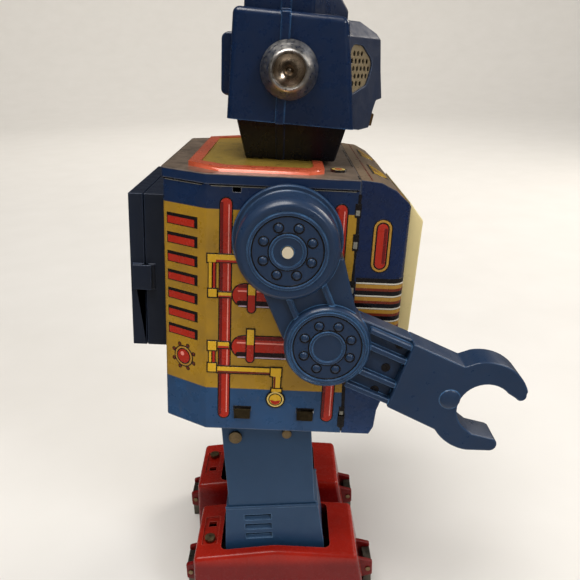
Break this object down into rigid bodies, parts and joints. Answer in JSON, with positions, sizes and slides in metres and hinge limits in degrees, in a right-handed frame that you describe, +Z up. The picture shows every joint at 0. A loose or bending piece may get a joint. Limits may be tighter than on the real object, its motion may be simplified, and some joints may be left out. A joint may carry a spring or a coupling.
{
  "type": "toy robot",
  "caption": "Battery walking toy robot with a lithographed tin torso, plastic head, claw arms, boot feet, a chest screen and a hinged battery box.",
  "frame": {"origin": "on the floor, under the middle of the whole robot from claw tips to battery box", "axes": "+Z up, the robot faces -Y, its right side is at -X"},
  "size_m": [0.1254, 0.1356, 0.2403],
  "materials": {
    "torso_litho": "gloss",
    "fascia_litho": "gloss",
    "lid_litho": "satin",
    "blue_tin": "gloss",
    "bright_tin": "satin",
    "steel": "satin",
    "chrome": "gloss",
    "brass": "satin",
    "head_plastic": "satin",
    "arm_plastic": "satin",
    "leg_plastic": "satin",
    "foot_plastic": "gloss",
    "box_plastic": "satin",
    "ivory_plastic": "satin",
    "clear_plastic": "gloss",
    "grille_tin": "satin",
    "mouth_foil": "satin",
    "cell_jacket": "satin",
    "gear_nylon": "matte",
    "drum_film": "satin",
    "wire_sleeve": "matte",
    "bulb_glass": "gloss",
    "roller_rubber": "matte"
  },
  "bodies": {
    "torso": {"torso_body": "torso_litho", "front_fascia": "fascia_litho", "top_plate": "lid_litho", "base_plate": "blue_tin", "chassis_plate": "bright_tin", "screen_bezel": "ivory_plastic", "screen_window": "clear_plastic", "head_front_shell": "head_plastic", "head_rear_shell": "head_plastic", "face_grilles": "grille_tin", "mouth_bar": "mouth_foil", "ear_cones": "chrome", "ear_reflectors": "chrome", "shoulder_rod": "steel", "battery_box": "box_plastic", "lid_hinge_pin": "steel", "battery_cells": "cell_jacket", "battery_contacts": "brass", "switch_frame": "bright_tin", "bulb": "bulb_glass", "bulb_holder": "brass", "wires": "wire_sleeve", "motor_case": "bright_tin", "gear_axles": "steel", "gearbox_plates": "bright_tin", "hip_axle": "steel", "drum_brackets": "bright_tin"},
    "right_arm": {"right_arm": "arm_plastic", "right_arm_lever": "bright_tin"},
    "left_arm": {"left_arm": "arm_plastic", "left_arm_lever": "bright_tin"},
    "right_leg": {"right_leg_shell": "leg_plastic", "right_leg_lever": "bright_tin", "right_leg_fasteners": "brass"},
    "left_leg": {"left_leg_shell": "leg_plastic", "left_leg_lever": "bright_tin", "left_leg_fasteners": "brass"},
    "right_foot": {"right_foot_shell": "foot_plastic", "right_sole_plate": "bright_tin", "right_foot_fasteners": "steel", "ankle_axle_right": "steel"},
    "left_foot": {"left_foot_shell": "foot_plastic", "left_sole_plate": "bright_tin", "left_foot_fasteners": "steel", "ankle_axle_left": "steel"},
    "right_toe_rollers": {"right_toe_rollers": "roller_rubber"},
    "right_heel_rollers": {"right_heel_rollers": "roller_rubber"},
    "left_toe_rollers": {"left_toe_rollers": "roller_rubber"},
    "left_heel_rollers": {"left_heel_rollers": "roller_rubber"},
    "crank": {"crankshaft": "steel", "crank_gear": "gear_nylon", "drum_drive_gear": "gear_nylon"},
    "second_gear": {"second_gear": "gear_nylon"},
    "first_gear": {"first_gear": "gear_nylon"},
    "motor_rotor": {"motor_pinion": "brass"},
    "drum_idler": {"drum_idler_gear": "gear_nylon"},
    "drum": {"drum_gear": "gear_nylon", "picture_drum": "drum_film"},
    "battery_lid": {"battery_lid": "box_plastic"},
    "switch": {"switch_slider": "foot_plastic"}
  },
  "joints": [
    {"name": "right_leg_swing", "type": "hinge", "parent": "torso", "child": "right_leg", "pos_m": [0, 0.0195, 0.102], "axis": [1, 0, 0], "range_deg": [-2.5, 5.5]},
    {"name": "left_leg_swing", "type": "hinge", "parent": "torso", "child": "left_leg", "pos_m": [0, 0.0195, 0.102], "axis": [1, 0, 0], "range_deg": [-5.5, 2.5]},
    {"name": "right_ankle", "type": "hinge", "parent": "right_leg", "child": "right_foot", "pos_m": [-0.023, 0.01727, 0.01703], "axis": [1, 0, 0], "range_deg": [-5.5, 2.5]},
    {"name": "left_ankle", "type": "hinge", "parent": "left_leg", "child": "left_foot", "pos_m": [0.023, 0.02172, 0.01703], "axis": [1, 0, 0], "range_deg": [-2.5, 5.5]},
    {"name": "right_arm_swing", "type": "hinge", "parent": "torso", "child": "right_arm", "pos_m": [0, 0.00883, 0.1614], "axis": [1, 0, 0], "range_deg": [-18.08, 8.22]},
    {"name": "left_arm_swing", "type": "hinge", "parent": "torso", "child": "left_arm", "pos_m": [0, 0.00883, 0.1614], "axis": [1, 0, 0], "range_deg": [-8.22, 18.08]},
    {"name": "crank_spin", "type": "hinge", "parent": "torso", "child": "crank", "pos_m": [0, 0.01782, 0.12594], "axis": [1, 0, 0], "continuous": true},
    {"name": "second_gear_spin", "type": "hinge", "parent": "torso", "child": "second_gear", "pos_m": [0, 0.02413, 0.13888], "axis": [1, 0, 0], "continuous": true},
    {"name": "first_gear_spin", "type": "hinge", "parent": "torso", "child": "first_gear", "pos_m": [0, 0.01378, 0.14889], "axis": [1, 0, 0], "continuous": true},
    {"name": "motor_spin", "type": "hinge", "parent": "torso", "child": "motor_rotor", "pos_m": [0, 0.02571, 0.15694], "axis": [1, 0, 0], "continuous": true},
    {"name": "drum_idler_spin", "type": "hinge", "parent": "torso", "child": "drum_idler", "pos_m": [0, 0.00326, 0.13304], "axis": [1, 0, 0], "continuous": true},
    {"name": "drum_spin", "type": "hinge", "parent": "torso", "child": "drum", "pos_m": [0, -0.01315, 0.14412], "axis": [1, 0, 0], "continuous": true},
    {"name": "battery_lid_hinge", "type": "hinge", "parent": "torso", "child": "battery_lid", "pos_m": [0.03, 0.0607, 0.14498], "axis": [0, 0.0698, -0.9976], "range_deg": [0, 110]},
    {"name": "switch_slide", "type": "slide", "parent": "torso", "child": "switch", "axis": [1, 0, 0], "range_m": [0, 0.006]},
    {"name": "right_toe_roller_spin", "type": "hinge", "parent": "right_foot", "child": "right_toe_rollers", "pos_m": [-0.024, -0.00373, 0.006], "axis": [1, 0, 0], "continuous": true},
    {"name": "right_heel_roller_spin", "type": "hinge", "parent": "right_foot", "child": "right_heel_rollers", "pos_m": [-0.024, 0.03827, 0.006], "axis": [1, 0, 0], "continuous": true},
    {"name": "left_toe_roller_spin", "type": "hinge", "parent": "left_foot", "child": "left_toe_rollers", "pos_m": [0.024, 0.00072, 0.006], "axis": [1, 0, 0], "continuous": true},
    {"name": "left_heel_roller_spin", "type": "hinge", "parent": "left_foot", "child": "left_heel_rollers", "pos_m": [0.024, 0.04272, 0.006], "axis": [1, 0, 0], "continuous": true}
  ],
  "couplings": [
    {"joint": "left_leg_swing", "follows": "right_leg_swing", "ratio": -1},
    {"joint": "right_ankle", "follows": "right_leg_swing", "ratio": -1},
    {"joint": "left_ankle", "follows": "right_leg_swing", "ratio": 1},
    {"joint": "right_arm_swing", "follows": "right_leg_swing", "ratio": -3.2857},
    {"joint": "left_arm_swing", "follows": "right_leg_swing", "ratio": 3.2857},
    {"joint": "second_gear_spin", "follows": "crank_spin", "ratio": -3},
    {"joint": "first_gear_spin", "follows": "crank_spin", "ratio": 9},
    {"joint": "motor_spin", "follows": "crank_spin", "ratio": -27},
    {"joint": "drum_idler_spin", "follows": "crank_spin", "ratio": -0.8},
    {"joint": "drum_spin", "follows": "crank_spin", "ratio": 0.66667}
  ]
}
